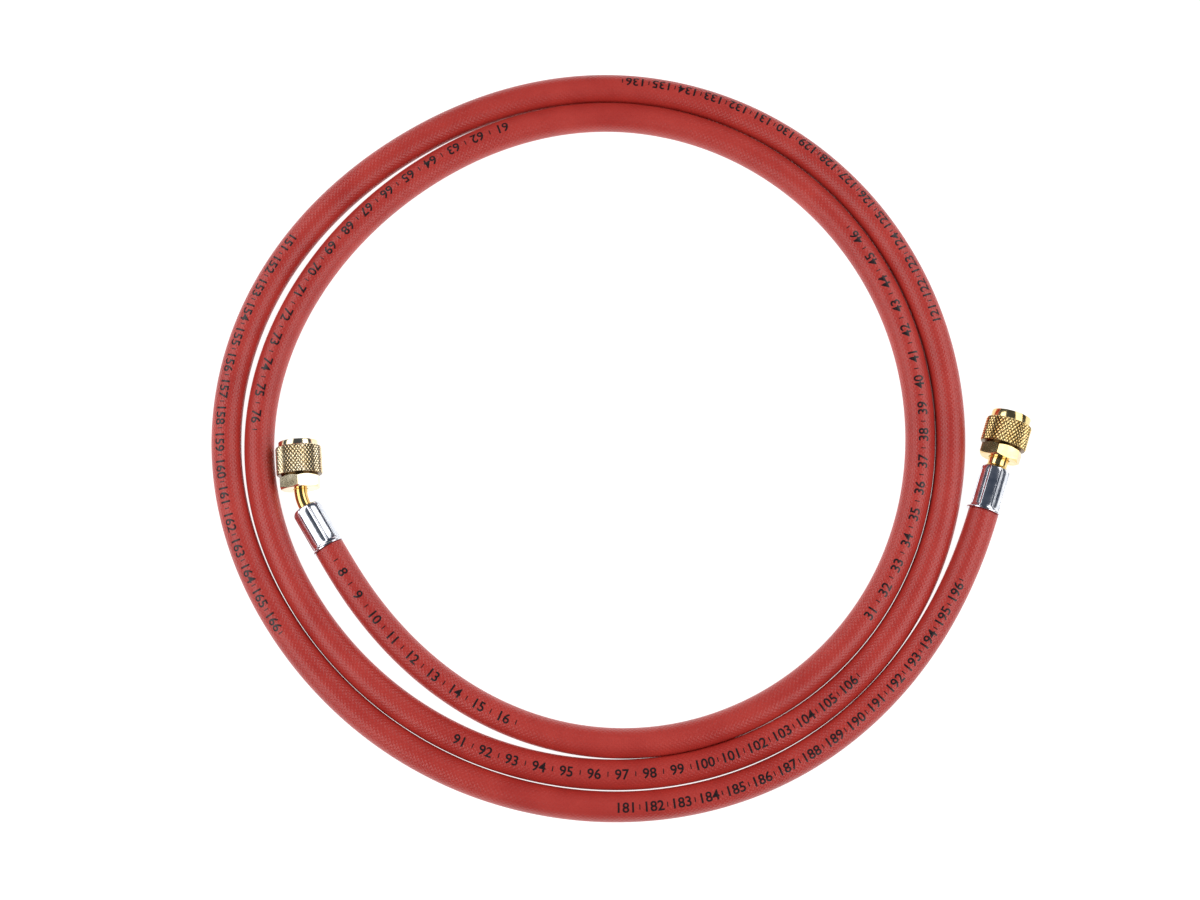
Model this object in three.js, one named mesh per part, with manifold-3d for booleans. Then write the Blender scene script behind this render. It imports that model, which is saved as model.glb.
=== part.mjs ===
// Refrigerant charging hose: a red rubber hose laid flat in a loose coil, with a crimped steel ferrule
// and a brass swivel nut at each end. The inner end has a bent stem, the outer end a straight one.
// Millimetres, +Z up. The origin is on the floor, under the middle of the whole hose.
import * as THREE from 'three';
import { mergeVertices } from 'three/addons/utils/BufferGeometryUtils.js';
import Module from 'manifold-3d';

const wasm = await Module();
wasm.setup();

// Clearances
const seatGap = 0.3; // between pieces that touch
const floor = 0;

// Hose
const hoseDiameter = 11;
const hoseSides = 12;
const neckDiameter = 8.9; // squeezed down inside a ferrule

// Route of the hose's middle line, seen from above, counter-clockwise: how far it lies outside or
// inside the coil's radius at every 30 degrees of bearing, carried on through the turns. The first
// and last two offsets lie past the ends and set how the hose meets its fittings.
const coilMiddle = new THREE.Vector2(-12.6, -4.4);
const coilRadius = 125;
const routeFirstBearing = 150;
const routeBearingStep = 30;
const routeOffsets = [
  60, -17.5, -26.4, -24.3, -17.2, -10.5, -5, -1.7, 2.2, 5.8, 4.9, -2.4,
  -3.4, -1.6, -7.3, -8.7, -6.4, 0.7, 6.3, 9.5, 13.4, 17.2, 15.9, 9.6,
  10.7, 10.4, 3.8, 2.5, 5.1, 12.2, 17, 23.6, 50.5,
];
const routeStart = 201.55; // bearing of the inner end
const stepsPerTurn = 29;
const routeSteps = 70;
const liftRun = 80; // length over which each end climbs from the floor to its fitting

// Ferrules, one on each end of the hose
const ferruleLength = 17.2;
const ferruleDiameter = 11.2;
const crimpAcrossFlats = 10.6;
const crimpFlats = 8;
const crimpMargin = 1.8; // left round next to the lip
const lipDiameter = 12.4;
const lipThickness = 0.5;
const lipFlare = 0.9;
const shoulderLength = 2.2;
const shoulderEndRadius = 4.4;
const shoulderSteps = 4;
const ferruleEndWall = 1.3;
const ferruleSides = 32;

// Stems
const barbDiameter = 5.2;
const barbRootDiameter = 4.4;
const barbCount = 4;
const barbRampShare = 0.8; // of each barb's pitch
const barbMouthSetback = 1; // from the ferrule's mouth to the first barb
const stopCollarDiameter = 8;
const stopCollarThickness = 0.7;
const headDiameter = 9.2;
const headThickness = 2.4;
const stemSides = 20;
const bentTubeDiameter = 4.8;
const bentTubeBore = 2.6;
const bendAngle = 26.3; // degrees between the ferrule and the nut
const bendRadius = 15;
const bentTubeSteps = 16;
const bentBoreSteps = 32;
const boreSides = 12;
const straightNeckDiameter = 6;
const straightShankDiameter = 7.3;
const straightStemBore = 3;
const straightShankShown = 3.4; // between the ferrule and the nut

// Swivel nuts
const knurlDiameter = 17;
const knurlChamfer = 0.5;
const grooveDepth = 1.5; // beside the hexagon, below the knurl's surface
const grooveWidth = 0.5;
const rimDiameter = 14.6;
const rimChamfer = 0.4;
const hexSides = 6;
const hexAcrossFlats = 14;
const hexChamfer = 0.5; // off each corner at the hose side
const hexChamferHeight = 0.75;
const nutSides = 36;
const nutRearWall = 3.2;
const threadMinorDiameter = 9.9;
const threadMouthDiameter = 11.6;
const threadMouthDepth = 0.8;
const angledNutSizes = { hex: 5.3, knurl: 10.5, rim: 2.1, hexTurn: 1 };
const straightNutSizes = { hex: 5.1, knurl: 9.4, rim: 3.1, hexTurn: -17 };

// Seals and the valve core depressor
const gasketThickness = 2;
const gasketHole = 4.6;
const gasketClearance = 0.35; // around the gasket in the thread
const depressorFootDiameter = 3.8;
const depressorFootThickness = 0.8;
const depressorPinDiameter = 1.6;
const depressorPinLength = 3.2;
const smallSides = 16;

// Working values for the cuts
const mergeDistance = 1e-4;
const cutOverrun = 1;

// Colours
const material = (color, roughness, metalness) => (
  new THREE.MeshStandardMaterial({ color, roughness, metalness })
);
const redRubber = material(0xb83c3a, 0.55, 0);
const brass = material(0xd9b25f, 0.28, 1);
const brightSteel = material(0xcfd3da, 0.18, 1);
const blackRubber = material(0x1d1d1f, 0.7, 0);

// Values that follow from the sizes
const hoseRadius = hoseDiameter / 2;
const knurlRadius = knurlDiameter / 2;
const fittingHeight = floor + knurlRadius; // each nut's knurl rests on the floor
const hoseHeight = floor + hoseRadius;
const ferruleBore = neckDiameter + 2 * seatGap;
const ferruleInnerEnd = ferruleLength - ferruleEndWall;
const collarStart = ferruleInnerEnd - seatGap - stopCollarThickness;
const neckEnd = collarStart - seatGap;
const socketDiameter = barbDiameter + 2 * seatGap;
const headStart = nutRearWall + seatGap;
const gasketStart = headStart + headThickness + seatGap;
const gasketDiameter = threadMinorDiameter - 2 * gasketClearance;

// Geometry helpers
function solidOf(geometry) {
  const bare = geometry.clone();
  bare.deleteAttribute('normal');
  bare.deleteAttribute('uv');
  const merged = mergeVertices(bare, mergeDistance);
  const corners = merged.index.array;
  const kept = [];
  for (let i = 0; i < corners.length; i += 3) {
    const [a, b, c] = [corners[i], corners[i + 1], corners[i + 2]];
    if (a !== b && b !== c && c !== a) kept.push(a, b, c);
  }
  return new wasm.Manifold(new wasm.Mesh({
    numProp: 3,
    vertProperties: new Float32Array(merged.attributes.position.array),
    triVerts: new Uint32Array(kept),
  }));
}

function geometryOf(solid) {
  const mesh = solid.getMesh();
  const geometry = new THREE.BufferGeometry();
  geometry.setAttribute('position', new THREE.BufferAttribute(mesh.vertProperties, 3));
  geometry.setIndex(new THREE.BufferAttribute(mesh.triVerts, 1));
  geometry.computeVertexNormals();
  return geometry;
}

// Turns a profile of [radius, height] points about the Y axis.
function turned(profile, sides) {
  return new THREE.LatheGeometry(profile.map(([r, y]) => new THREE.Vector2(r, y)), sides);
}

function plainCylinder(diameter, from, to, sides) {
  const cylinder = new THREE.CylinderGeometry(diameter / 2, diameter / 2, to - from, sides);
  return cylinder.translate(0, (from + to) / 2, 0);
}

function prism(acrossFlats, flats, from, to) {
  return plainCylinder(acrossFlats / Math.cos(Math.PI / flats), from, to, flats);
}

// A regular polygon with one flat facing each of the four sides.
function levelPolygon(acrossFlats, sides) {
  const radius = acrossFlats / 2 / Math.cos(Math.PI / sides);
  const shape = new THREE.Shape();
  for (let i = 0; i < sides; i += 1) {
    const angle = (2 * Math.PI * (i + 0.5)) / sides;
    const corner = [radius * Math.cos(angle), radius * Math.sin(angle)];
    if (i === 0) shape.moveTo(...corner);
    else shape.lineTo(...corner);
  }
  shape.closePath();
  return shape;
}

// Distance of the route from the coil's middle. Between the chosen offsets it is a smooth cubic blend.
function routeRadius(bearing) {
  const place = (bearing - routeFirstBearing) / routeBearingStep;
  const i = Math.floor(place);
  const t = place - i;
  const weights = [
    (1 - t) ** 3,
    3 * t ** 3 - 6 * t ** 2 + 4,
    -3 * t ** 3 + 3 * t ** 2 + 3 * t + 1,
    t ** 3,
  ];
  const offset = weights.reduce((sum, w, k) => sum + w * routeOffsets[i - 1 + k], 0) / 6;
  return coilRadius + offset;
}

const routeSpan = (360 * routeSteps) / stepsPerTurn;

function lift(distance) {
  return (fittingHeight - hoseHeight) * (1 - THREE.MathUtils.smoothstep(distance, 0, liftRun));
}

class CoilRoute extends THREE.Curve {
  getPoint(t, target = new THREE.Vector3()) {
    const bearing = routeStart + t * routeSpan;
    const radius = routeRadius(bearing);
    const angle = THREE.MathUtils.degToRad(bearing);
    const fromStart = THREE.MathUtils.degToRad(t * routeSpan) * radius;
    const fromEnd = THREE.MathUtils.degToRad((1 - t) * routeSpan) * radius;
    return target.set(
      coilMiddle.x + radius * Math.cos(angle),
      coilMiddle.y + radius * Math.sin(angle),
      hoseHeight + lift(fromStart) + lift(fromEnd),
    );
  }

  // Steps are equal in bearing, so that neighbouring turns step together.
  getPointAt(u, target) {
    return this.getPoint(u, target);
  }

  getTangentAt(u, target) {
    return this.getTangent(u, target);
  }

  // The section stays level: a flat faces the floor, and a flat faces each neighbouring turn.
  computeFrenetFrames(segments) {
    const frames = { tangents: [], normals: [], binormals: [] };
    for (let i = 0; i <= segments; i += 1) {
      const tangent = this.getTangent(i / segments);
      const binormal = new THREE.Vector3(0, 0, 1).cross(tangent).normalize();
      frames.tangents.push(tangent);
      frames.binormals.push(binormal);
      frames.normals.push(binormal.clone().cross(tangent));
    }
    return frames;
  }
}

// A line that runs straight along +Y, turns clockwise by an arc and runs straight again.
class BentLine extends THREE.Curve {
  constructor(from, bendStart, radius, angle, after) {
    super();
    this.straight = bendStart - from;
    this.arc = radius * angle;
    this.whole = this.straight + this.arc + after;
    Object.assign(this, { from, bendStart, radius, angle });
  }

  getPoint(t, target = new THREE.Vector3()) {
    const distance = t * this.whole;
    if (distance <= this.straight) return target.set(0, this.from + distance, 0);
    const turn = Math.min((distance - this.straight) / this.radius, this.angle);
    const rest = Math.max(distance - this.straight - this.arc, 0);
    return target.set(
      this.radius * (1 - Math.cos(turn)) + rest * Math.sin(turn),
      this.bendStart + this.radius * Math.sin(turn) + rest * Math.cos(turn),
      0,
    );
  }
}

const route = new CoilRoute();

// Groups that hold the fittings. Each one's +Y runs out of the hose, along the fitting.
function hoseEnd(t) {
  const direction = route.getTangent(t).multiplyScalar(t === 0 ? -1 : 1);
  const end = new THREE.Group();
  end.position.copy(route.getPoint(t)).addScaledVector(direction, seatGap);
  end.rotation.z = Math.atan2(-direction.x, direction.y);
  end.updateMatrix();
  return end;
}

const innerEnd = hoseEnd(0);
const outerEnd = hoseEnd(1);

// Hose: squeezed necks run into the ferrules, and each holds a socket for the barbed stem
function hoseSolid() {
  const tube = new THREE.ExtrudeGeometry(levelPolygon(hoseDiameter, hoseSides), {
    steps: routeSteps,
    extrudePath: route,
  });
  let solid = solidOf(tube);
  const neckRoot = -neckDiameter / 2;
  const socketFloor = barbMouthSetback - seatGap;
  for (const end of [innerEnd, outerEnd]) {
    const neck = plainCylinder(neckDiameter, neckRoot, neckEnd, ferruleSides);
    const socket = plainCylinder(socketDiameter, socketFloor, ferruleLength, ferruleSides);
    solid = solid.add(solidOf(neck.applyMatrix4(end.matrix)));
    solid = solid.subtract(solidOf(socket.applyMatrix4(end.matrix)));
  }
  return solid;
}

// Ferrule: a turned sleeve with a rounded shoulder and a thin flared lip, crimped to flats
function ferruleSolid(stemDiameter) {
  const radius = ferruleDiameter / 2;
  const bore = ferruleBore / 2;
  const hole = stemDiameter / 2 + seatGap;
  const shoulderStart = ferruleLength - shoulderLength;
  const shoulder = [];
  for (let i = 0; i <= shoulderSteps; i += 1) {
    const angle = (Math.PI / 2) * (i / shoulderSteps);
    shoulder.push([
      shoulderEndRadius + (radius - shoulderEndRadius) * Math.cos(angle),
      shoulderStart + shoulderLength * Math.sin(angle),
    ]);
  }
  const sleeve = turned([
    [lipDiameter / 2, 0],
    [lipDiameter / 2, lipThickness],
    [radius, lipThickness + (lipDiameter / 2 - radius) / 2],
    ...shoulder,
    [hole, ferruleLength],
    [hole, ferruleInnerEnd],
    [bore, ferruleInnerEnd],
    [bore, lipFlare],
    [bore + lipFlare / 2, 0],
    [lipDiameter / 2, 0],
  ], ferruleSides);
  const outside = plainCylinder(2 * lipDiameter, crimpMargin, shoulderStart, ferruleSides);
  const flats = prism(crimpAcrossFlats, crimpFlats, 0, ferruleLength);
  return solidOf(sleeve).subtract(solidOf(outside).subtract(solidOf(flats)));
}

// Barbed tail of a stem, with the collar that stops it against the ferrule's end
function barbedTail(neckStemDiameter) {
  const root = barbRootDiameter / 2;
  const start = barbMouthSetback;
  const pitch = (collarStart - start) / barbCount;
  const profile = [[0, start], [root, start]];
  for (let i = 0; i < barbCount; i += 1) {
    profile.push([barbDiameter / 2, start + pitch * (i + barbRampShare)]);
    profile.push([root, start + pitch * (i + barbRampShare)]);
    if (i < barbCount - 1) profile.push([root, start + pitch * (i + 1)]);
  }
  profile.push([root, collarStart]);
  profile.push([stopCollarDiameter / 2, collarStart]);
  profile.push([stopCollarDiameter / 2, collarStart + stopCollarThickness]);
  profile.push([neckStemDiameter / 2, collarStart + stopCollarThickness]);
  profile.push([neckStemDiameter / 2, ferruleInnerEnd]);
  profile.push([0, ferruleInnerEnd]);
  return solidOf(turned(profile, stemSides));
}

// Bent stem: a brass tube from the barbed tail, round the bend and through the nut to its head
const bend = THREE.MathUtils.degToRad(bendAngle);
const angledNutGroup = new THREE.Group();
angledNutGroup.position.set(
  bendRadius * (1 - Math.cos(bend)) + seatGap * Math.sin(bend),
  ferruleLength + bendRadius * Math.sin(bend) + seatGap * Math.cos(bend),
  0,
);
angledNutGroup.rotation.z = -bend;
angledNutGroup.updateMatrix();

function angledStemSolid() {
  const pastBend = seatGap + headStart + headThickness;
  const tubeStart = collarStart + stopCollarThickness / 2;
  const tubeLine = new BentLine(tubeStart, ferruleLength, bendRadius, bend, pastBend - headThickness / 2);
  const boreLine = new BentLine(0, ferruleLength, bendRadius, bend, pastBend + headThickness);
  const tube = new THREE.ExtrudeGeometry(levelPolygon(bentTubeDiameter, stemSides), {
    steps: bentTubeSteps,
    extrudePath: tubeLine,
  });
  const bore = new THREE.ExtrudeGeometry(levelPolygon(bentTubeBore, boreSides), {
    steps: bentBoreSteps,
    extrudePath: boreLine,
  });
  const head = plainCylinder(headDiameter, headStart, headStart + headThickness, stemSides);
  return barbedTail(bentTubeDiameter)
    .add(solidOf(tube))
    .add(solidOf(head.applyMatrix4(angledNutGroup.matrix)))
    .subtract(solidOf(bore));
}

// Straight stem: a thick shank from the barbed tail through the nut to its head
const straightNutStart = ferruleLength + straightShankShown;

function straightStemSolid() {
  const neck = straightNeckDiameter / 2;
  const shank = straightShankDiameter / 2;
  const head = headDiameter / 2;
  const shankStart = ferruleLength + seatGap;
  const headFrom = straightNutStart + headStart;
  const body = turned([
    [0, collarStart],
    [neck, collarStart],
    [neck, shankStart],
    [shank, shankStart],
    [shank, headFrom],
    [head, headFrom],
    [head, headFrom + headThickness],
    [0, headFrom + headThickness],
  ], stemSides);
  const bore = plainCylinder(straightStemBore, 0, headFrom + 2 * headThickness, boreSides);
  return barbedTail(straightNeckDiameter).add(solidOf(body)).subtract(solidOf(bore));
}

// Swivel nut: hexagon at the hose side, knurled grip, plain rim at the mouth
function nutSolid({ hex, knurl, rim, hexTurn }, stemDiameter) {
  const hexCorner = hexAcrossFlats / 2 / Math.cos(Math.PI / hexSides);
  const knurlEnd = hex + knurl;
  const mouth = knurlEnd + rim;
  const grip = turned([
    [0, hex - grooveWidth],
    [knurlRadius - grooveDepth, hex - grooveWidth],
    [knurlRadius - grooveDepth, hex],
    [knurlRadius - knurlChamfer, hex],
    [knurlRadius, hex + knurlChamfer],
    [knurlRadius, knurlEnd - knurlChamfer],
    [knurlRadius - knurlChamfer, knurlEnd],
    [rimDiameter / 2, knurlEnd],
    [rimDiameter / 2, mouth - rimChamfer],
    [rimDiameter / 2 - rimChamfer, mouth],
    [0, mouth],
  ], nutSides);
  const hexagon = prism(hexAcrossFlats, hexSides, 0, hex).rotateY(THREE.MathUtils.degToRad(hexTurn));
  const chamferCone = turned([
    [0, 0],
    [hexCorner - hexChamfer, 0],
    [hexCorner, hexChamferHeight],
    [hexCorner, hex],
    [0, hex],
  ], nutSides);
  const stemHole = stemDiameter / 2 + seatGap;
  const inside = turned([
    [0, -cutOverrun],
    [stemHole, -cutOverrun],
    [stemHole, nutRearWall],
    [threadMinorDiameter / 2, nutRearWall],
    [threadMinorDiameter / 2, mouth - threadMouthDepth],
    [threadMouthDiameter / 2, mouth],
    [threadMouthDiameter / 2, mouth + cutOverrun],
    [0, mouth + cutOverrun],
  ], nutSides);
  return solidOf(hexagon)
    .intersect(solidOf(chamferCone))
    .add(solidOf(grip))
    .subtract(solidOf(inside));
}

// Gasket: a rubber ring on the stem's head, inside the nut
function gasketGeometry() {
  return turned([
    [gasketDiameter / 2, gasketStart],
    [gasketDiameter / 2, gasketStart + gasketThickness],
    [gasketHole / 2, gasketStart + gasketThickness],
    [gasketHole / 2, gasketStart],
    [gasketDiameter / 2, gasketStart],
  ], nutSides);
}

// Core depressor: a small pin that stands on the bent stem's head, in the gasket's hole
function depressorGeometry() {
  const pinFoot = gasketStart + depressorFootThickness;
  return turned([
    [0, gasketStart],
    [depressorFootDiameter / 2, gasketStart],
    [depressorFootDiameter / 2, pinFoot],
    [depressorPinDiameter / 2, pinFoot],
    [depressorPinDiameter / 2, gasketStart + depressorPinLength],
    [0, gasketStart + depressorPinLength],
  ], smallSides);
}

// The whole hose, piece by piece
function piece(name, geometry, look) {
  const mesh = new THREE.Mesh(geometry, look);
  mesh.name = name;
  return mesh;
}

const straightNutGroup = new THREE.Group();
straightNutGroup.position.set(0, straightNutStart, 0);

innerEnd.add(
  piece('angled_ferrule', geometryOf(ferruleSolid(bentTubeDiameter)), brightSteel),
  piece('angled_stem', geometryOf(angledStemSolid()), brass),
  angledNutGroup,
);
angledNutGroup.add(
  piece('angled_nut', geometryOf(nutSolid(angledNutSizes, bentTubeDiameter)), brass),
  piece('angled_gasket', gasketGeometry(), blackRubber),
  piece('core_depressor', depressorGeometry(), brass),
);
outerEnd.add(
  piece('straight_ferrule', geometryOf(ferruleSolid(straightNeckDiameter)), brightSteel),
  piece('straight_stem', geometryOf(straightStemSolid()), brass),
  straightNutGroup,
);
straightNutGroup.add(
  piece('straight_nut', geometryOf(nutSolid(straightNutSizes, straightShankDiameter)), brass),
  piece('straight_gasket', gasketGeometry(), blackRubber),
);

const chargingHose = new THREE.Group();
chargingHose.add(piece('hose', geometryOf(hoseSolid()), redRubber), innerEnd, outerEnd);

export default chargingHose;
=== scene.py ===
# Looks of the refrigerant charging hose. Sizes are in millimetres up to the moment that a mesh is
# made, and Blender's own units are metres.
import math

import bmesh
import bpy
import numpy as np
from mathutils import Matrix, Vector


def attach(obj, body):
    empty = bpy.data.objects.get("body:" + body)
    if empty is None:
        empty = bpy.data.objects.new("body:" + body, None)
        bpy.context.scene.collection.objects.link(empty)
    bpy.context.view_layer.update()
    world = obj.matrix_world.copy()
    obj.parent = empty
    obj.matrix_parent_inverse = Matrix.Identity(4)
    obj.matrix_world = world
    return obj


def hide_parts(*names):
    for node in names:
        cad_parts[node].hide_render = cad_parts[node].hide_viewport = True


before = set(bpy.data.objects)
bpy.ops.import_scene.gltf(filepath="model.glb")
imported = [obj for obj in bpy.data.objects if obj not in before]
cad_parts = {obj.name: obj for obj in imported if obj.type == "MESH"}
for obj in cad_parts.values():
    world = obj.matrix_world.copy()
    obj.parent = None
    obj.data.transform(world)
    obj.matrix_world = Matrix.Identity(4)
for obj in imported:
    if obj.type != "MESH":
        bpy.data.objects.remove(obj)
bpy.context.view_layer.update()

MM = 0.001

# Camera: above the coil, tilted a little to the south, as in the photograph
CAMERA_TILT = math.radians(10.5)
CAMERA_DISTANCE = 798.9
CAMERA_AIM = Vector((-8.14, -4.78, 5.5))
CAMERA_LENS = 64.5
SENSOR_WIDTH = 36

# Route of the hose, as in the model
HOSE_DIAMETER = 11
COIL_MIDDLE = (-12.6, -4.4)
COIL_RADIUS = 125
ROUTE_FIRST_BEARING = 150
ROUTE_BEARING_STEP = 30
ROUTE_OFFSETS = [
    60, -17.5, -26.4, -24.3, -17.2, -10.5, -5, -1.7, 2.2, 5.8, 4.9, -2.4,
    -3.4, -1.6, -7.3, -8.7, -6.4, 0.7, 6.3, 9.5, 13.4, 17.2, 15.9, 9.6,
    10.7, 10.4, 3.8, 2.5, 5.1, 12.2, 17, 23.6, 50.5,
]
ROUTE_START = 201.55
STEPS_PER_TURN = 29
ROUTE_STEPS = 70
LIFT_RUN = 80
SEAT_GAP = 0.3
NECK_DIAMETER = 8.9

# Hose skin
SKIN_RADIUS = 5.53
SKIN_SIDES = 48
SKIN_RINGS_PER_DEGREE = 1
BRAID_PITCH = 1.7
BRAID_STRANDS = 22

# Printed centimetre numbers, in runs that repeat along the hose. Each run lies a little outward of the
# hose's top line.
PRINT_FIRST_START = -59
PRINT_REPEAT = 300
PRINT_OFFSETS = [0, 0.5, 1, 0, 1.8, 1.7, 0.4]
PRINT_NUMBERS = 16
PRINT_STEP = 10
PRINT_NUMBER_STEP = 30
PRINT_CAP_HEIGHT = 3.6
PRINT_BOLD = 0.09
PRINT_STRIP = 0.4
PRINT_MARGIN = 5
FONT_CAP_SHARE = 0.7
PRINT_PROUD = 0.03
TICK_LENGTH = 1.8
TICK_WIDTH = 0.35

# Ferrules
FERRULE_LENGTH = 17.2
FERRULE_DIAMETER = 11.2
CRIMP_ACROSS_FLATS = 10.6
CRIMP_FLATS = 8
CRIMP_MARGIN = 1.5
CRIMP_RAMP = 0.7
CRIMP_RAMP_STEPS = 5
CRIMP_ROWS = 8
ANGLED_CRIMP_TURN = math.radians(80)
STRAIGHT_CRIMP_TURN = math.radians(73)
CRIMP_FLATNESS = 0.25
CRIMP_RIDGE_HEIGHT = 0.2
CRIMP_RIDGE_WIDTH = 0.2
LIP_THICKNESS = 0.4
LIP_FLARE = 0.9
LIP_CURVE_LENGTH = 0.55
ANGLED_LIP_DIAMETER = 12.3
STRAIGHT_LIP_DIAMETER = 13.2
SHOULDER_LENGTH = 2.2
SHOULDER_END_RADIUS = 4.4
SHOULDER_STEPS = 10
FERRULE_END_WALL = 1.3
FERRULE_COLUMNS = 320

# Stems
BARB_DIAMETER = 5.2
BARB_ROOT_DIAMETER = 4.4
BARB_COUNT = 4
BARB_RAMP_SHARE = 0.8
BARB_MOUTH_SETBACK = 1
STOP_COLLAR_DIAMETER = 8
STOP_COLLAR_THICKNESS = 0.7
HEAD_DIAMETER = 9.2
HEAD_THICKNESS = 2.4
HEAD_EDGE = 0.3
STEM_COLUMNS = 64
BENT_TUBE_DIAMETER = 4.8
BENT_TUBE_BORE = 2.6
BEND_ANGLE = math.radians(26.3)
BEND_RADIUS = 15
BEND_STEP = 0.6
STRAIGHT_NECK_DIAMETER = 6
STRAIGHT_SHANK_DIAMETER = 7.3
STRAIGHT_STEM_BORE = 3
STRAIGHT_SHANK_SHOWN = 3.4
SHANK_EDGE = 0.4

# Swivel nuts
KNURL_DIAMETER = 17
KNURL_CHAMFER = 0.4
KNURL_DEPTH = 0.3
KNURL_FLAT_TOP = 0.8
KNURL_AROUND = 40
KNURL_HEIGHT = 1.8
COARSE_KNURL_HEIGHT = 1.9
KNURL_SPLIT = 4
GROOVE_DEPTH = 1.5
GROOVE_WIDTH = 0.5
RIM_DIAMETER = 14.6
RIM_CHAMFER = 0.4
HEX_ACROSS_FLATS = 14
HEX_EDGE_INSET = 0.15
HEX_CHAMFER_SLOPE = 0.58
NUT_REAR_WALL = 3.2
THREAD_MINOR_DIAMETER = 9.9
THREAD_DEPTH = 0.55
THREAD_PITCH = 1.27
THREAD_ROWS = 6
THREAD_MOUTH_DIAMETER = 11.6
THREAD_MOUTH_DEPTH = 0.8

# Seals
GASKET_THICKNESS = 2
GASKET_HOLE = 4.6
GASKET_CLEARANCE = 0.35
GASKET_EDGE = 0.25
GASKET_COLUMNS = 96
FOOT_DIAMETER = 3.8
FOOT_THICKNESS = 0.8
PIN_DIAMETER = 1.6
PIN_LENGTH = 3.2
PIN_EDGE = 0.2

# Floor and light, in metres. The lamps' edges are (x, z) places.
FLOOR_HALF = 40
FLOOR_GLOW = 0.98
LAMP_INNER = (0.64, 1.1)
LAMP_OUTER = (1.19, 0.54)
LAMP_HALF_LENGTH = 1.2
LAMP_POWER = 13.8
WORLD_COLOR = (0.42, 0.5, 0.68, 1)
WORLD_STRENGTH = 0.15

HOSE_HEIGHT = HOSE_DIAMETER / 2
FITTING_HEIGHT = KNURL_DIAMETER / 2
ROUTE_SPAN = 360 * ROUTE_STEPS / STEPS_PER_TURN
HEAD_START = NUT_REAR_WALL + SEAT_GAP
FERRULE_INNER_END = FERRULE_LENGTH - FERRULE_END_WALL
COLLAR_START = FERRULE_INNER_END - SEAT_GAP - STOP_COLLAR_THICKNESS
NECK_END = COLLAR_START - SEAT_GAP
GASKET_START = HEAD_START + HEAD_THICKNESS + SEAT_GAP
STRAIGHT_NUT_START = FERRULE_LENGTH + STRAIGHT_SHANK_SHOWN
UP = Vector((0, 0, 1))


# Route
def route_radius(bearing):
    place = (bearing - ROUTE_FIRST_BEARING) / ROUTE_BEARING_STEP
    i = math.floor(place)
    t = place - i
    weights = [(1 - t) ** 3, 3 * t**3 - 6 * t**2 + 4, -3 * t**3 + 3 * t**2 + 3 * t + 1, t**3]
    return COIL_RADIUS + sum(w * ROUTE_OFFSETS[i - 1 + k] for k, w in enumerate(weights)) / 6


def lift(distance):
    share = min(max(distance / LIFT_RUN, 0), 1)
    return (FITTING_HEIGHT - HOSE_HEIGHT) * (1 - share * share * (3 - 2 * share))


def route_point(t):
    bearing = ROUTE_START + t * ROUTE_SPAN
    radius = route_radius(bearing)
    angle = math.radians(bearing)
    from_start = math.radians(t * ROUTE_SPAN) * radius
    from_end = math.radians((1 - t) * ROUTE_SPAN) * radius
    return Vector((
        COIL_MIDDLE[0] + radius * math.cos(angle),
        COIL_MIDDLE[1] + radius * math.sin(angle),
        HOSE_HEIGHT + lift(from_start) + lift(from_end),
    ))


def route_tangent(t):
    near = 1e-4
    low, high = max(t - near, 0), min(t + near, 1)
    return (route_point(high) - route_point(low)).normalized()


class Line:
    """A line that runs straight along +Y from 0, turns clockwise by an arc and runs on straight."""

    def __init__(self, bend_start=0, radius=1, angle=0):
        self.bend_start, self.radius, self.angle = bend_start, radius, angle

    def frame(self, s):
        turn = min(max((s - self.bend_start) / self.radius, 0), self.angle)
        before = min(s, self.bend_start)
        after = max(s - self.bend_start - self.radius * self.angle, 0)
        x = self.radius * (1 - math.cos(turn)) + after * math.sin(turn)
        y = before + self.radius * math.sin(turn) + after * math.cos(turn)
        return Vector((x, y, 0)), Vector((math.cos(turn), -math.sin(turn), 0))


STRAIGHT = Line()
BENT = Line(FERRULE_LENGTH, BEND_RADIUS, BEND_ANGLE)
BENT_LENGTH = FERRULE_LENGTH + BEND_RADIUS * BEND_ANGLE


def end_frame(t):
    """Where a fitting sits: its +Y runs out of the hose, its +X lies level to the right of that."""
    direction = route_tangent(t) * (-1 if t == 0 else 1)
    origin = route_point(t) + direction * SEAT_GAP
    turn = math.atan2(-direction.x, direction.y)
    return Matrix.Translation(origin) @ Matrix.Rotation(turn, 4, "Z")


INNER_END = end_frame(0)
OUTER_END = end_frame(1)
nut_offset = BENT.frame(BENT_LENGTH + SEAT_GAP)[0]
ANGLED_NUT = INNER_END @ Matrix.Translation(nut_offset) @ Matrix.Rotation(-BEND_ANGLE, 4, "Z")
STRAIGHT_NUT = OUTER_END @ Matrix.Translation((0, STRAIGHT_NUT_START, 0))


# Mesh helpers
def finish_mesh(name, verts, faces, material, place=None, sharp=30, uvs=None):
    """verts are in millimetres, and place moves them into the frame of the whole hose."""
    mesh = bpy.data.meshes.new(name)
    move = Matrix.Scale(MM, 4) @ (place or Matrix.Identity(4))
    mesh.from_pydata([move @ Vector(v) for v in verts], [], faces)
    if uvs is not None:
        layer = mesh.uv_layers.new(name="UVMap")
        layer.data.foreach_set("uv", np.array(uvs, dtype=np.float32).ravel())
    bm = bmesh.new()
    bm.from_mesh(mesh)
    if bm.calc_volume(signed=True) < 0:
        bmesh.ops.reverse_faces(bm, faces=bm.faces)
    bm.to_mesh(mesh)
    bm.free()
    mesh.shade_smooth()
    mesh.set_sharp_from_angle(angle=math.radians(sharp))
    mesh.materials.append(material)
    obj = bpy.data.objects.new(name, mesh)
    bpy.context.scene.collection.objects.link(obj)
    return obj


def row_value(row, angle):
    return row(angle) if callable(row) else row


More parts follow.
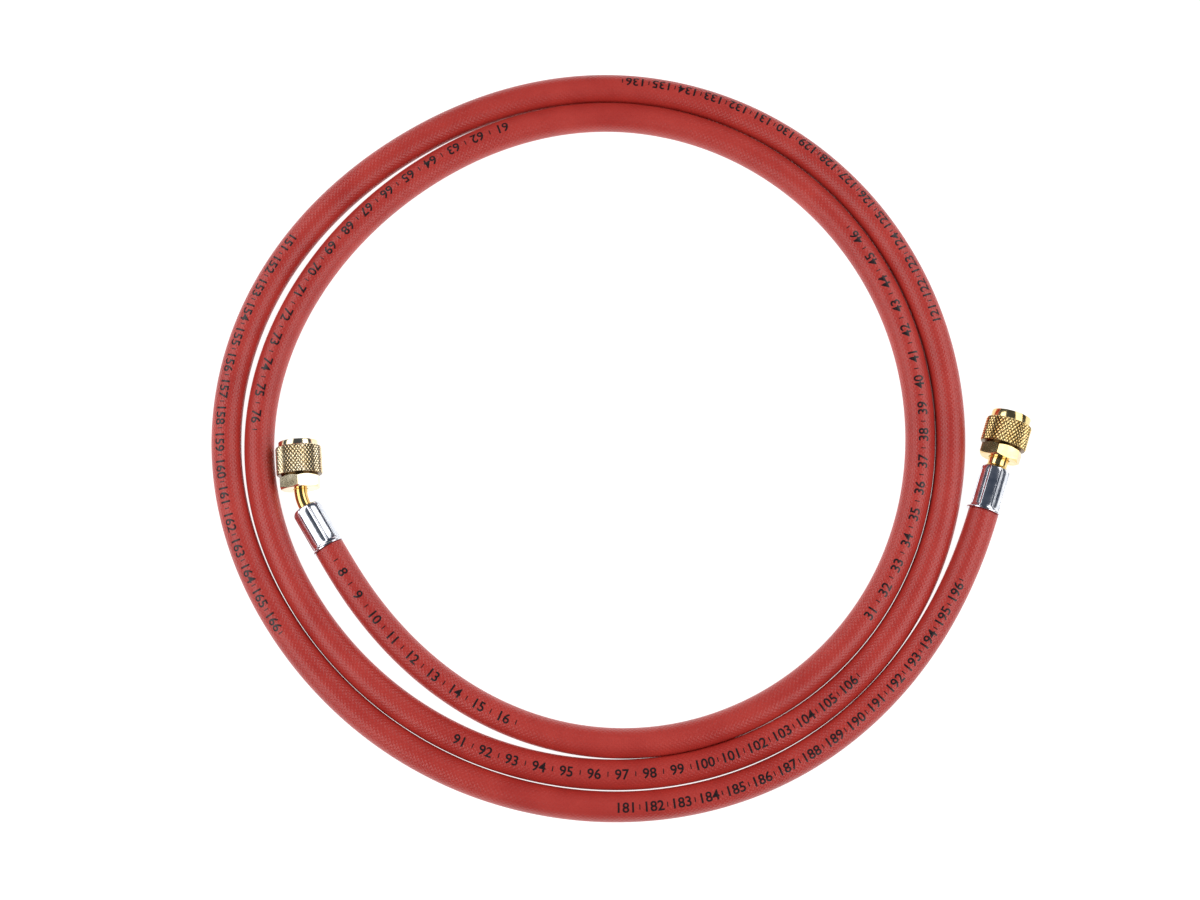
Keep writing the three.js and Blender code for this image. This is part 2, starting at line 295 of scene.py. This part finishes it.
def split_quad(corners, radii):
    """Two triangles that meet along the quad's valley or ridge, or the quad itself where it is even."""
    a, b, c, d = corners
    ra, rb, rc, rd = radii
    if abs(ra + rc - rb - rd) < 1e-4:
        return [corners]
    ac, bd = abs(ra - rc), abs(rb - rd)
    if abs(ac - bd) < 1e-6:
        along_ac = ra + rc < rb + rd
    else:
        along_ac = ac < bd
    return [(a, b, c), (a, c, d)] if along_ac else [(b, c, d), (b, d, a)]


def turned(name, rows, columns, material, place, line=STRAIGHT, turn=0, sharp=30, recess=None):
    """A closed body turned about a line. rows are (radius, distance along the line) pairs, or
    functions of the angle that give one. A row of radius 0 is one point on the line. recess gives
    how deep a point lies in a groove, from 0 to 1, from its radius and distance."""
    verts, radii, index, depths = [], [], [], []
    for row in rows:
        if not callable(row) and row[0] == 0:
            centre, side = line.frame(row[1])
            index.append([len(verts)] * columns)
            verts.append(centre)
            radii.append(0)
            depths.append(0)
            continue
        ring = []
        for k in range(columns):
            angle = turn + 2 * math.pi * k / columns
            radius, along = row_value(row, angle - turn)
            centre, side = line.frame(along)
            ring.append(len(verts))
            verts.append(centre + (side * math.cos(angle) + UP * math.sin(angle)) * radius)
            radii.append(radius)
            depths.append(recess(radius, along) if recess else 0)
        index.append(ring)
    faces = []
    closed = radii[index[0][0]] > 0
    pairs = list(zip(index, index[1:] + index[:1])) if closed else list(zip(index, index[1:]))
    for low, high in pairs:
        for k in range(columns):
            n = (k + 1) % columns
            corners = [low[k], low[n], high[n], high[k]]
            unique = list(dict.fromkeys(corners))
            if len(unique) == 3:
                faces.append(unique)
            elif len(unique) == 4:
                faces.extend(split_quad(corners, [radii[c] for c in corners]))
    body = finish_mesh(name, verts, faces, material, place, sharp)
    if recess:
        # The recess values drive the painted shade in the brass material.
        body.data.attributes.new("recess", "FLOAT", "POINT").data.foreach_set("value", depths)
    return body


# Node helpers
def new_material(name):
    material = bpy.data.materials.new(name)
    material.use_nodes = True
    tree = material.node_tree
    return material, tree, tree.nodes["Principled BSDF"]


def node(tree, kind, **values):
    made = tree.nodes.new(kind)
    for key, value in values.items():
        if key.startswith("in_"):
            made.inputs[key[3:].replace("_", " ")].default_value = value
        else:
            setattr(made, key, value)
    return made


def math_node(tree, operation, a, b=None, clamp=False):
    made = tree.nodes.new("ShaderNodeMath")
    made.operation = operation
    made.use_clamp = clamp
    for socket, value in zip(made.inputs, (a, b)):
        if value is None:
            continue
        if isinstance(value, (int, float)):
            socket.default_value = value
        else:
            tree.links.new(value, socket)
    return made.outputs[0]


def ramp(tree, factor, stops, name="Color"):
    made = tree.nodes.new("ShaderNodeValToRGB")
    elements = made.color_ramp.elements
    while len(elements) < len(stops):
        elements.new(0.5)
    for element, (position, color) in zip(elements, stops):
        element.position = position
        element.color = (*color, 1)
    tree.links.new(factor, made.inputs["Fac"])
    return made.outputs[name]


def noise(tree, scale, detail=4, roughness=0.5, vector=None):
    made = node(tree, "ShaderNodeTexNoise", in_Scale=scale, in_Detail=detail, in_Roughness=roughness)
    if vector is not None:
        tree.links.new(vector, made.inputs["Vector"])
    return made.outputs["Fac"]


def bump(tree, shader, height, strength, distance, normal=None):
    made = node(tree, "ShaderNodeBump", in_Strength=strength, in_Distance=distance)
    tree.links.new(height, made.inputs["Height"])
    if normal is not None:
        tree.links.new(normal, made.inputs["Normal"])
    tree.links.new(made.outputs["Normal"], shader.inputs["Normal"])
    return made.outputs["Normal"]


def object_coordinates(tree):
    return tree.nodes.new("ShaderNodeTexCoord").outputs["Object"]


# Materials
def red_rubber_material():
    """Satin red rubber, in which the braid shows as a faint crossed relief."""
    material, tree, shader = new_material("red_rubber")
    uv = node(tree, "ShaderNodeUVMap", uv_map="UVMap").outputs["UV"]
    split = tree.nodes.new("ShaderNodeSeparateXYZ")
    tree.links.new(uv, split.inputs[0])
    along = math_node(tree, "MULTIPLY", split.outputs["X"], 2 * math.pi / BRAID_PITCH)
    around = math_node(tree, "MULTIPLY", split.outputs["Y"], BRAID_STRANDS * 2 * math.pi)
    right = math_node(tree, "SINE", math_node(tree, "ADD", along, around))
    left = math_node(tree, "SINE", math_node(tree, "SUBTRACT", along, around))
    braid = math_node(tree, "MAXIMUM", right, left)
    place = object_coordinates(tree)
    patches = noise(tree, 60, 3, 0.5, place)
    grain = noise(tree, 1500, 3, 0.6, place)
    broad = math_node(tree, "MULTIPLY", patches, 0.7)
    fine = math_node(tree, "MULTIPLY", grain, 0.3)
    shade = math_node(tree, "ADD", broad, fine)
    color = ramp(tree, shade, [(0.3, (0.465, 0.035, 0.027)), (0.7, (0.59, 0.055, 0.040))])
    tree.links.new(color, shader.inputs["Base Color"])
    rough = math_node(tree, "ADD", math_node(tree, "MULTIPLY", patches, 0.12), 0.27)
    tree.links.new(rough, shader.inputs["Roughness"])
    shader.inputs["IOR"].default_value = 1.5
    first = bump(tree, shader, braid, 0.45, 0.0001)
    bump(tree, shader, grain, 0.25, 0.00004, first)
    return material


def ink_material():
    material, tree, shader = new_material("print_ink")
    worn = noise(tree, 2200, 4, 0.6, object_coordinates(tree))
    color = ramp(tree, worn, [(0.35, (0.006, 0.003, 0.004)), (0.8, (0.03, 0.008, 0.009))])
    tree.links.new(color, shader.inputs["Base Color"])
    shader.inputs["Roughness"].default_value = 0.4
    return material


def brass_material(name, pale, deep):
    """Bright brass: a slight tarnish, tiny marks, and painted shade, a dull brown, in the grooves of the
    knurl.
    """
    material, tree, shader = new_material(name)
    place = object_coordinates(tree)
    tarnish = noise(tree, 260, 4, 0.55, place)
    color = ramp(tree, tarnish, [(0.35, deep), (0.6, pale)])
    recess = node(tree, "ShaderNodeAttribute", attribute_name="recess").outputs["Fac"]
    # Painted shade: dull brown mixed into the colour where the recess attribute marks the knurl's
    # grooves, the groove beside the hexagon and the thread.
    groove_shade_mix = node(tree, "ShaderNodeMix", data_type="RGBA")
    groove_shade_mask = math_node(tree, "MULTIPLY", math_node(tree, "SUBTRACT", recess, 0.5), 2.4, clamp=True)
    tree.links.new(groove_shade_mask, groove_shade_mix.inputs["Factor"])
    tree.links.new(color, groove_shade_mix.inputs[6])
    groove_shade_mix.inputs[7].default_value = (0.15, 0.085, 0.03, 1)
    tree.links.new(groove_shade_mix.outputs[2], shader.inputs["Base Color"])
    shader.inputs["Metallic"].default_value = 1
    marks = noise(tree, 2600, 3, 0.6, place)
    smooth = math_node(tree, "ADD", math_node(tree, "MULTIPLY", tarnish, 0.14), 0.06)
    rough = math_node(tree, "ADD", smooth, math_node(tree, "MULTIPLY", recess, 0.15))
    tree.links.new(rough, shader.inputs["Roughness"])
    bump(tree, shader, marks, 0.12, 0.00002)
    return material


def plated_steel_material():
    material, tree, shader = new_material("plated_steel")
    place = object_coordinates(tree)
    cloud = noise(tree, 320, 4, 0.6, place)
    color = ramp(tree, cloud, [(0.35, (0.66, 0.69, 0.75)), (0.62, (0.86, 0.87, 0.90))])
    tree.links.new(color, shader.inputs["Base Color"])
    shader.inputs["Metallic"].default_value = 1
    scratches = noise(tree, 1800, 5, 0.7, place)
    rough = math_node(tree, "ADD", math_node(tree, "MULTIPLY", cloud, 0.16), 0.08)
    tree.links.new(rough, shader.inputs["Roughness"])
    bump(tree, shader, scratches, 0.18, 0.00003)
    return material


def black_rubber_material():
    material, tree, shader = new_material("black_rubber")
    grain = noise(tree, 900, 4, 0.6, object_coordinates(tree))
    color = ramp(tree, grain, [(0.3, (0.012, 0.012, 0.013)), (0.7, (0.03, 0.03, 0.032))])
    tree.links.new(color, shader.inputs["Base Color"])
    shader.inputs["Roughness"].default_value = 0.6
    bump(tree, shader, grain, 0.3, 0.00005)
    return material


RED_RUBBER = red_rubber_material()
INK = ink_material()
PALE_BRASS = brass_material("brass_pale", (0.96, 0.84, 0.58), (0.90, 0.72, 0.42))
GOLD_BRASS = brass_material("brass_gold", (0.93, 0.72, 0.34), (0.84, 0.57, 0.21))
TUBE_BRASS = brass_material("brass_tube", (0.88, 0.60, 0.22), (0.74, 0.44, 0.12))
PLATED_STEEL = plated_steel_material()
BLACK_RUBBER = black_rubber_material()


# Camera
def make_camera():
    data = bpy.data.cameras.new("camera")
    data.lens = CAMERA_LENS
    data.sensor_width = SENSOR_WIDTH
    data.clip_start = 0.01
    camera = bpy.data.objects.new("camera", data)
    away = Vector((0, -math.sin(CAMERA_TILT), math.cos(CAMERA_TILT)))
    camera.location = (CAMERA_AIM + away * CAMERA_DISTANCE) * MM
    camera.rotation_euler = (CAMERA_TILT, 0, 0)
    bpy.context.scene.collection.objects.link(camera)
    bpy.context.scene.camera = camera


make_camera()


# Hose
RING_COUNT = int(ROUTE_SPAN * SKIN_RINGS_PER_DEGREE) + 1
ring_shares = [i / (RING_COUNT - 1) for i in range(RING_COUNT)]
ring_centres = [route_point(t) for t in ring_shares]
ring_distances = [0.0]
for before, after in zip(ring_centres, ring_centres[1:]):
    ring_distances.append(ring_distances[-1] + (after - before).length)
ROUTE_LENGTH = ring_distances[-1]


def hose_rings():
    """(centre, tangent, radius, distance) from the socket's floor at the inner end, out over the
    neck, along the route, and back into the socket at the outer end."""
    neck = NECK_DIAMETER / 2
    socket = BARB_DIAMETER / 2 + SEAT_GAP
    socket_floor = BARB_MOUTH_SETBACK - SEAT_GAP
    end_profile = [
        (0, socket_floor),
        (socket, socket_floor),
        (socket, NECK_END),
        (neck - 0.2, NECK_END),
        (neck, NECK_END - 0.3),
        (neck, 1.6),
        (neck + 0.25, 1.1),
        (neck + 0.5, 0.55),
        (SKIN_RADIUS - 0.45, 0),
        (SKIN_RADIUS - 0.12, -SEAT_GAP + 0.1),
    ]
    start_out = -route_tangent(0)
    end_out = route_tangent(1)
    rings = []
    for radius, along in end_profile:
        centre = ring_centres[0] + start_out * (along + SEAT_GAP)
        rings.append((centre, -start_out, radius, -along - SEAT_GAP))
    for t, centre, distance in zip(ring_shares, ring_centres, ring_distances):
        rings.append((centre, route_tangent(t), SKIN_RADIUS, distance))
    for radius, along in reversed(end_profile):
        centre = ring_centres[-1] + end_out * (along + SEAT_GAP)
        rings.append((centre, end_out, radius, ROUTE_LENGTH + along + SEAT_GAP))
    return rings


def make_hose():
    verts, faces, uvs = [], [], []
    starts = []
    rings = hose_rings()
    for centre, tangent, radius, _ in rings:
        starts.append((len(verts), radius > 0))
        if radius == 0:
            verts.append(centre)
            continue
        side = UP.cross(tangent).normalized()
        rise = tangent.cross(side)
        for k in range(SKIN_SIDES):
            angle = 2 * math.pi * k / SKIN_SIDES - math.pi / 2
            point = centre + (side * math.cos(angle) + rise * math.sin(angle)) * radius
            point.z = max(point.z, 0)
            verts.append(point)
    for r in range(len(rings) - 1):
        (low, low_ring), (high, high_ring) = starts[r], starts[r + 1]
        u0, u1 = rings[r][3], rings[r + 1][3]
        for k in range(SKIN_SIDES):
            n = (k + 1) % SKIN_SIDES
            v0, v1 = k / SKIN_SIDES, (k + 1) / SKIN_SIDES
            if low_ring and high_ring:
                faces.append((low + k, low + n, high + n, high + k))
                uvs += [(u0, v0), (u0, v1), (u1, v1), (u1, v0)]
            elif high_ring:
                faces.append((low, high + n, high + k))
                uvs += [(u0, v0), (u1, v1), (u1, v0)]
            else:
                faces.append((low + k, low + n, high))
                uvs += [(u0, v0), (u0, v1), (u1, v0)]
    return finish_mesh("hose_rubber", verts, faces, RED_RUBBER, sharp=50, uvs=uvs)


hose = make_hose()


# Ferrules
def crimp_radius(angle):
    """Radius of the crimped stretch: slightly flattened sectors, with a narrow ridge between them."""
    sector = 2 * math.pi / CRIMP_FLATS
    off = (angle % sector) - sector / 2
    radius = CRIMP_ACROSS_FLATS / 2
    flat = radius / math.cos(off)
    from_ridge = (sector / 2 - abs(off)) * radius
    ridge = CRIMP_RIDGE_HEIGHT * math.exp(-((from_ridge / CRIMP_RIDGE_WIDTH) ** 2))
    return min(radius + (flat - radius) * CRIMP_FLATNESS + ridge, FERRULE_DIAMETER / 2)


def make_ferrule(name, place, stem_diameter, lip_diameter, crimp_turn):
    radius = FERRULE_DIAMETER / 2
    bore = NECK_DIAMETER / 2 + SEAT_GAP
    hole = stem_diameter / 2 + SEAT_GAP
    lip = lip_diameter / 2
    shoulder_start = FERRULE_LENGTH - SHOULDER_LENGTH

    def crimped(share, along, shrink=0):
        def row(angle):
            flat = crimp_radius(angle)
            return radius + (flat - radius) * share - shrink, along
        return row

    rows = [(lip - 0.1, 0), (lip, 0.1), (lip, LIP_THICKNESS)]
    for s in (0.25, 0.5, 0.75, 1):
        rows.append((radius + (lip - radius) * (1 - s) ** 2, LIP_THICKNESS + LIP_CURVE_LENGTH * s))
    for i in range(1, CRIMP_RAMP_STEPS + 1):
        s = i / CRIMP_RAMP_STEPS
        rows.append(crimped(s * s * (3 - 2 * s), CRIMP_MARGIN - CRIMP_RAMP / 2 + CRIMP_RAMP * s))
    for i in range(1, CRIMP_ROWS):
        along = CRIMP_MARGIN + CRIMP_RAMP + (shoulder_start - CRIMP_MARGIN - CRIMP_RAMP) * i / CRIMP_ROWS
        rows.append(crimped(1, along))
    for i in range(SHOULDER_STEPS + 1):
        angle = math.pi / 2 * i / SHOULDER_STEPS
        round_radius = SHOULDER_END_RADIUS + (radius - SHOULDER_END_RADIUS) * math.cos(angle)
        along = shoulder_start + SHOULDER_LENGTH * math.sin(angle)
        rows.append(crimped(math.cos(angle) ** 2, along, radius - round_radius))
    rows += [
        (hole + 0.3, FERRULE_LENGTH),
        (hole, FERRULE_LENGTH - 0.2),
        (hole, FERRULE_INNER_END),
        (bore, FERRULE_INNER_END),
        (bore, LIP_FLARE),
        (bore + LIP_FLARE / 2, 0),
    ]
    return turned(name, rows, FERRULE_COLUMNS, PLATED_STEEL, place, turn=crimp_turn, sharp=35)


# Stems
def barb_rows():
    start = BARB_MOUTH_SETBACK
    root = BARB_ROOT_DIAMETER / 2
    pitch = (COLLAR_START - start) / BARB_COUNT
    rows = [(root, start)]
    for i in range(BARB_COUNT):
        rows.append((BARB_DIAMETER / 2, start + pitch * (i + BARB_RAMP_SHARE)))
        rows.append((root, start + pitch * (i + BARB_RAMP_SHARE)))
        rows.append((root, start + pitch * (i + 1) - 0.1))
    collar = STOP_COLLAR_DIAMETER / 2
    rows += [(collar, COLLAR_START), (collar, COLLAR_START + STOP_COLLAR_THICKNESS)]
    return rows


def head_rows(start):
    head = HEAD_DIAMETER / 2
    end = start + HEAD_THICKNESS
    return [
        (head - HEAD_EDGE, start),
        (head, start + HEAD_EDGE),
        (head, end - HEAD_EDGE),
        (head - HEAD_EDGE, end),
    ]


def bore_rows(radius, end, steps):
    start = BARB_MOUTH_SETBACK
    rows = [(radius + 0.2, end), (radius, end - 0.2)]
    rows += [(radius, end - 0.2 + (start - end + 0.2) * i / steps) for i in range(1, steps + 1)]
    return rows


def make_angled_stem():
    tube = BENT_TUBE_DIAMETER / 2
    rows = barb_rows()
    tube_from = COLLAR_START + STOP_COLLAR_THICKNESS
    head_from = BENT_LENGTH + SEAT_GAP + HEAD_START
    count = int((head_from - tube_from) / BEND_STEP)
    rows += [(tube, tube_from + (head_from - tube_from) * i / count) for i in range(count + 1)]
    rows += head_rows(head_from)
    rows += bore_rows(BENT_TUBE_BORE / 2, head_from + HEAD_THICKNESS, 2 * count)
    return turned("angled_stem_tube", rows, STEM_COLUMNS, TUBE_BRASS, INNER_END, line=BENT, sharp=40)


def make_straight_stem():
    neck = STRAIGHT_NECK_DIAMETER / 2
    shank = STRAIGHT_SHANK_DIAMETER / 2
    shank_from = FERRULE_LENGTH + SEAT_GAP
    head_from = STRAIGHT_NUT_START + HEAD_START
    rows = barb_rows()
    rows += [
        (neck, COLLAR_START + STOP_COLLAR_THICKNESS),
        (neck, shank_from),
        (shank - SHANK_EDGE, shank_from),
        (shank, shank_from + SHANK_EDGE),
        (shank, head_from),
    ]
    rows += head_rows(head_from)
    rows += bore_rows(STRAIGHT_STEM_BORE / 2, head_from + HEAD_THICKNESS, 2)
    return turned("straight_stem_shank", rows, STEM_COLUMNS, GOLD_BRASS, OUTER_END, sharp=40)


# Swivel nuts
def wave(value):
    """0 at whole numbers and 1 halfway between them, straight in between."""
    return 1 - abs(2 * (value % 1) - 1)


def knurl_row(along, start, height, pitch):
    near_edge = min(along, height - along)
    limit = KNURL_DIAMETER / 2 - max(KNURL_CHAMFER - near_edge, 0)

    def row(angle):
        turn = KNURL_AROUND * angle / (2 * math.pi)
        rise = along / pitch
        peak = min(wave(turn + rise), wave(turn - rise), KNURL_FLAT_TOP) / KNURL_FLAT_TOP
        return min(KNURL_DIAMETER / 2 - KNURL_DEPTH * (1 - peak), limit), start + along
    return row


def thread_row(along, mouth):
    fade = min(max((mouth - THREAD_MOUTH_DEPTH - along) / THREAD_PITCH, 0), 1)

    def row(angle):
        turn = along / THREAD_PITCH - angle / (2 * math.pi)
        crest = min(max(wave(turn) * 1.4 - 0.2, 0), 1)
        return THREAD_MINOR_DIAMETER / 2 + THREAD_DEPTH * (crest * fade + (1 - fade) * 0.6), along
    return row


def hexagon_radius(angle):
    sector = math.pi / 3
    off = (angle % sector) - sector / 2
    return HEX_ACROSS_FLATS / 2 / math.cos(off)


def hexagon_row(base, inward):
    """The line where a cone cuts the hexagon's sides, measured from its end face at base."""
    start = HEX_ACROSS_FLATS / 2 - HEX_EDGE_INSET

    def row(angle):
        radius = hexagon_radius(angle)
        return radius, base + inward * (radius - start) * HEX_CHAMFER_SLOPE
    return row


def make_nut(name, place, material, hexagon, knurl, rim, hex_turn, stem_diameter, height):
    outer = KNURL_DIAMETER / 2
    groove = outer - GROOVE_DEPTH
    knurl_end = hexagon + knurl
    mouth = knurl_end + rim
    rim_radius = RIM_DIAMETER / 2
    end_radius = HEX_ACROSS_FLATS / 2 - HEX_EDGE_INSET
    hole = stem_diameter / 2 + SEAT_GAP
    rows = [
        (hole, 0.2),
        (hole + 0.2, 0),
        (end_radius, 0),
        hexagon_row(0, 1),
        hexagon_row(hexagon - GROOVE_WIDTH, -1),
        (end_radius, hexagon - GROOVE_WIDTH),
        (groove - 0.2, hexagon - GROOVE_WIDTH + 0.1),
        (groove - 0.2, hexagon),
        (outer - KNURL_CHAMFER - 0.2, hexagon),
    ]
    half_cells = round(2 * knurl / height)
    pitch = 2 * knurl / half_cells
    for i in range(half_cells * KNURL_SPLIT + 1):
        rows.append(knurl_row(knurl * i / (half_cells * KNURL_SPLIT), hexagon, knurl, pitch))
    rows += [
        (rim_radius + 0.15, knurl_end),
        (rim_radius, knurl_end + 0.1),
        (rim_radius, mouth - RIM_CHAMFER),
        (rim_radius - 0.12, mouth - 0.12),
        (rim_radius - RIM_CHAMFER, mouth),
        (THREAD_MOUTH_DIAMETER / 2, mouth),
    ]
    inner_start = mouth - THREAD_MOUTH_DEPTH
    step = THREAD_PITCH / THREAD_ROWS
    count = int((inner_start - NUT_REAR_WALL) / step)
    for i in range(count + 1):
        rows.append(thread_row(inner_start - i * step, mouth))
    rows += [
        (THREAD_MINOR_DIAMETER / 2, NUT_REAR_WALL),
        (hole, NUT_REAR_WALL),
    ]

    # Depth in the knurl's grooves, the groove beside the hexagon and the thread; the brass material
    # darkens these places as painted shade.
    def recess(radius, along):
        grooved = hexagon - GROOVE_WIDTH < along < knurl_end
        return min(max((outer - radius) / KNURL_DEPTH, 0), 1) if grooved else 0

    columns = 2 * KNURL_AROUND * KNURL_SPLIT
    turn = math.pi / 2 - math.radians(hex_turn)
    return turned(name, rows, columns, material, place, turn=turn, sharp=25, recess=recess)


# Seals
def make_gasket(name, place):
    outer = THREAD_MINOR_DIAMETER / 2 - GASKET_CLEARANCE
    hole = GASKET_HOLE / 2
    low, high = GASKET_START, GASKET_START + GASKET_THICKNESS
    rows = [
        (hole, low),
        (outer, low),
        (outer, high - GASKET_EDGE),
        (outer - GASKET_EDGE, high),
        (hole + GASKET_EDGE, high),
        (hole, high - GASKET_EDGE),
    ]
    return turned(name, rows, GASKET_COLUMNS, BLACK_RUBBER, place)


def make_depressor():
    foot = GASKET_START + FOOT_THICKNESS
    end = GASKET_START + PIN_LENGTH
    rows = [
        (0, GASKET_START),
        (FOOT_DIAMETER / 2, GASKET_START),
        (FOOT_DIAMETER / 2, foot - PIN_EDGE),
        (FOOT_DIAMETER / 2 - PIN_EDGE, foot),
        (PIN_DIAMETER / 2, foot),
        (PIN_DIAMETER / 2, end - PIN_EDGE),
        (PIN_DIAMETER / 2 - PIN_EDGE, end),
        (0, end),
    ]
    return turned("core_depressor_pin", rows, STEM_COLUMNS, PALE_BRASS, ANGLED_NUT)


angled_ferrule = make_ferrule(
    "angled_ferrule_sleeve", INNER_END, BENT_TUBE_DIAMETER, ANGLED_LIP_DIAMETER, ANGLED_CRIMP_TURN
)
straight_ferrule = make_ferrule(
    "straight_ferrule_sleeve", OUTER_END, STRAIGHT_NECK_DIAMETER, STRAIGHT_LIP_DIAMETER,
    STRAIGHT_CRIMP_TURN,
)
angled_stem = make_angled_stem()
straight_stem = make_straight_stem()
angled_nut = make_nut(
    "angled_nut_brass", ANGLED_NUT, PALE_BRASS,
    hexagon=5.3, knurl=10.5, rim=2.1, hex_turn=1,
    stem_diameter=BENT_TUBE_DIAMETER, height=KNURL_HEIGHT,
)
straight_nut = make_nut(
    "straight_nut_brass", STRAIGHT_NUT, GOLD_BRASS,
    hexagon=5.1, knurl=9.4, rim=3.1, hex_turn=-17,
    stem_diameter=STRAIGHT_SHANK_DIAMETER, height=COARSE_KNURL_HEIGHT,
)
angled_gasket = make_gasket("angled_gasket_ring", ANGLED_NUT)
straight_gasket = make_gasket("straight_gasket_ring", STRAIGHT_NUT)
core_depressor = make_depressor()


# Print: plain centimetre numbers with short ticks between them
def flat_text(text, height):
    """Triangles of one number, centred on its own middle, standing on y = 0."""
    curve = bpy.data.curves.new("number", "FONT")
    curve.body = text
    curve.align_x = "CENTER"
    curve.size = height / FONT_CAP_SHARE
    curve.offset = PRINT_BOLD
    curve.resolution_u = 3
    holder = bpy.data.objects.new("number", curve)
    bpy.context.scene.collection.objects.link(holder)
    bpy.context.view_layer.update()
    mesh = bpy.data.meshes.new_from_object(holder.evaluated_get(bpy.context.evaluated_depsgraph_get()))
    bm = bmesh.new()
    bm.from_mesh(mesh)
    bpy.data.objects.remove(holder)
    bpy.data.curves.remove(curve)
    bpy.data.meshes.remove(mesh)
    return bm


def ring_at(distance):
    i = int(np.searchsorted(ring_distances, distance)) - 1
    i = min(max(i, 0), RING_COUNT - 2)
    share = (distance - ring_distances[i]) / (ring_distances[i + 1] - ring_distances[i])
    centre = ring_centres[i].lerp(ring_centres[i + 1], share)
    tangent = route_tangent(ring_shares[i]).lerp(route_tangent(ring_shares[i + 1]), share).normalized()
    return centre, tangent


def wrap(bm, distance, outward):
    """Lays flat print on the hose: x runs along it, y runs over it toward the coil's middle."""
    radius = SKIN_RADIUS + PRINT_PROUD
    for vert in bm.verts:
        centre, tangent = ring_at(distance + vert.co.x)
        side = UP.cross(tangent).normalized()
        rise = tangent.cross(side)
        angle = (vert.co.y - outward) / radius
        vert.co = (centre + (side * math.sin(angle) + rise * math.cos(angle)) * radius) * MM


def cut_in_strips(bm, low, high):
    """Cuts across y, so that the print can follow the hose's round skin."""
    normal = Vector((0, 1, 0))
    count = int((high - low) / PRINT_STRIP)
    for i in range(1, count + 1):
        bmesh.ops.bisect_plane(
            bm,
            geom=bm.verts[:] + bm.edges[:] + bm.faces[:],
            plane_co=normal * (low + i * PRINT_STRIP),
            plane_no=normal,
        )


def tick():
    bm = bmesh.new()
    x, y = TICK_WIDTH / 2, TICK_LENGTH / 2
    bm.faces.new([bm.verts.new(corner) for corner in ((-x, -y, 0), (x, -y, 0), (x, y, 0), (-x, y, 0))])
    return bm


def make_print():
    whole = bmesh.new()
    for run, outward in enumerate(PRINT_OFFSETS):
        start = PRINT_FIRST_START + PRINT_REPEAT * run
        for i in range(PRINT_NUMBERS):
            at = start + PRINT_STEP * i
            number = flat_text(str(PRINT_NUMBER_STEP * run + i + 1), PRINT_CAP_HEIGHT)
            marks = [(number, at, -PRINT_CAP_HEIGHT / 2), (tick(), at + PRINT_STEP / 2, 0)]
            for bm, place, drop in marks:
                if not PRINT_MARGIN < place < ROUTE_LENGTH - PRINT_MARGIN:
                    bm.free()
                    continue
                bmesh.ops.translate(bm, verts=bm.verts, vec=(0, drop, 0))
                bmesh.ops.triangulate(bm, faces=bm.faces)
                cut_in_strips(bm, -PRINT_CAP_HEIGHT, PRINT_CAP_HEIGHT)
                wrap(bm, place, outward)
                piece = bpy.data.meshes.new("mark")
                bm.to_mesh(piece)
                whole.from_mesh(piece)
                bpy.data.meshes.remove(piece)
                bm.free()
    mesh = bpy.data.meshes.new("hose_print")
    whole.to_mesh(mesh)
    whole.free()
    mesh.materials.append(INK)
    obj = bpy.data.objects.new("hose_print", mesh)
    bpy.context.scene.collection.objects.link(obj)
    return obj


hose_print = make_print()


# Bodies and nodes
def dress(piece, body, slot, *nodes):
    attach(piece, body)
    if nodes:
        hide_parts(*nodes)


dress(hose, "hose_line", "red_rubber", "hose")
dress(hose_print, "hose_line", "black_rubber")
dress(angled_ferrule, "hose_line", "plated_steel", "angled_ferrule")
dress(angled_stem, "hose_line", "brass", "angled_stem")
dress(angled_gasket, "hose_line", "black_rubber", "angled_gasket")
dress(core_depressor, "hose_line", "brass", "core_depressor")
dress(straight_ferrule, "hose_line", "plated_steel", "straight_ferrule")
dress(straight_stem, "hose_line", "brass", "straight_stem")
dress(straight_gasket, "hose_line", "black_rubber", "straight_gasket")
dress(angled_nut, "angled_swivel", "brass", "angled_nut")
dress(straight_nut, "straight_swivel", "brass", "straight_nut")

NECK_REACH = SEAT_GAP + NECK_END
cord_path = [
    ring_centres[0] - route_tangent(0) * NECK_REACH,
    *ring_centres,
    ring_centres[-1] + route_tangent(1) * NECK_REACH,
]


# Floor and light
def make_floor():
    mesh = bpy.data.meshes.new("floor")
    h = FLOOR_HALF
    mesh.from_pydata([(-h, -h, 0), (h, -h, 0), (h, h, 0), (-h, h, 0)], [], [(0, 1, 2, 3)])
    material, tree, shader = new_material("floor")
    shader.inputs["Base Color"].default_value = (0.3, 0.3, 0.3, 1)
    shader.inputs["Roughness"].default_value = 0.9
    shader.inputs["Specular IOR Level"].default_value = 0
    shader.inputs["Emission Color"].default_value = (1, 1, 1, 1)
    shader.inputs["Emission Strength"].default_value = FLOOR_GLOW
    mesh.materials.append(material)
    floor = bpy.data.objects.new("floor", mesh)
    bpy.context.scene.collection.objects.link(floor)


def make_softbox(name, side):
    """A long soft light beside the coil, leaning in over it."""
    (x0, z0), (x1, z1) = LAMP_INNER, LAMP_OUTER
    data = bpy.data.lights.new(name, "AREA")
    data.shape = "RECTANGLE"
    data.size = math.hypot(x1 - x0, z1 - z0)
    data.size_y = 2 * LAMP_HALF_LENGTH
    data.energy = LAMP_POWER
    lamp = bpy.data.objects.new(name, data)
    lamp.location = (side * (x0 + x1) / 2, 0, (z0 + z1) / 2)
    lamp.rotation_euler = (0, side * math.atan2(z0 - z1, x1 - x0), 0)
    lamp.visible_camera = False
    bpy.context.scene.collection.objects.link(lamp)


def make_world():
    world = bpy.data.worlds.new("studio")
    world.use_nodes = True
    background = world.node_tree.nodes["Background"]
    background.inputs["Color"].default_value = WORLD_COLOR
    background.inputs["Strength"].default_value = WORLD_STRENGTH
    bpy.context.scene.world = world


make_floor()
make_softbox("softbox_left", -1)
make_softbox("softbox_right", 1)
make_world()
bpy.context.scene.view_settings.view_transform = "Standard"
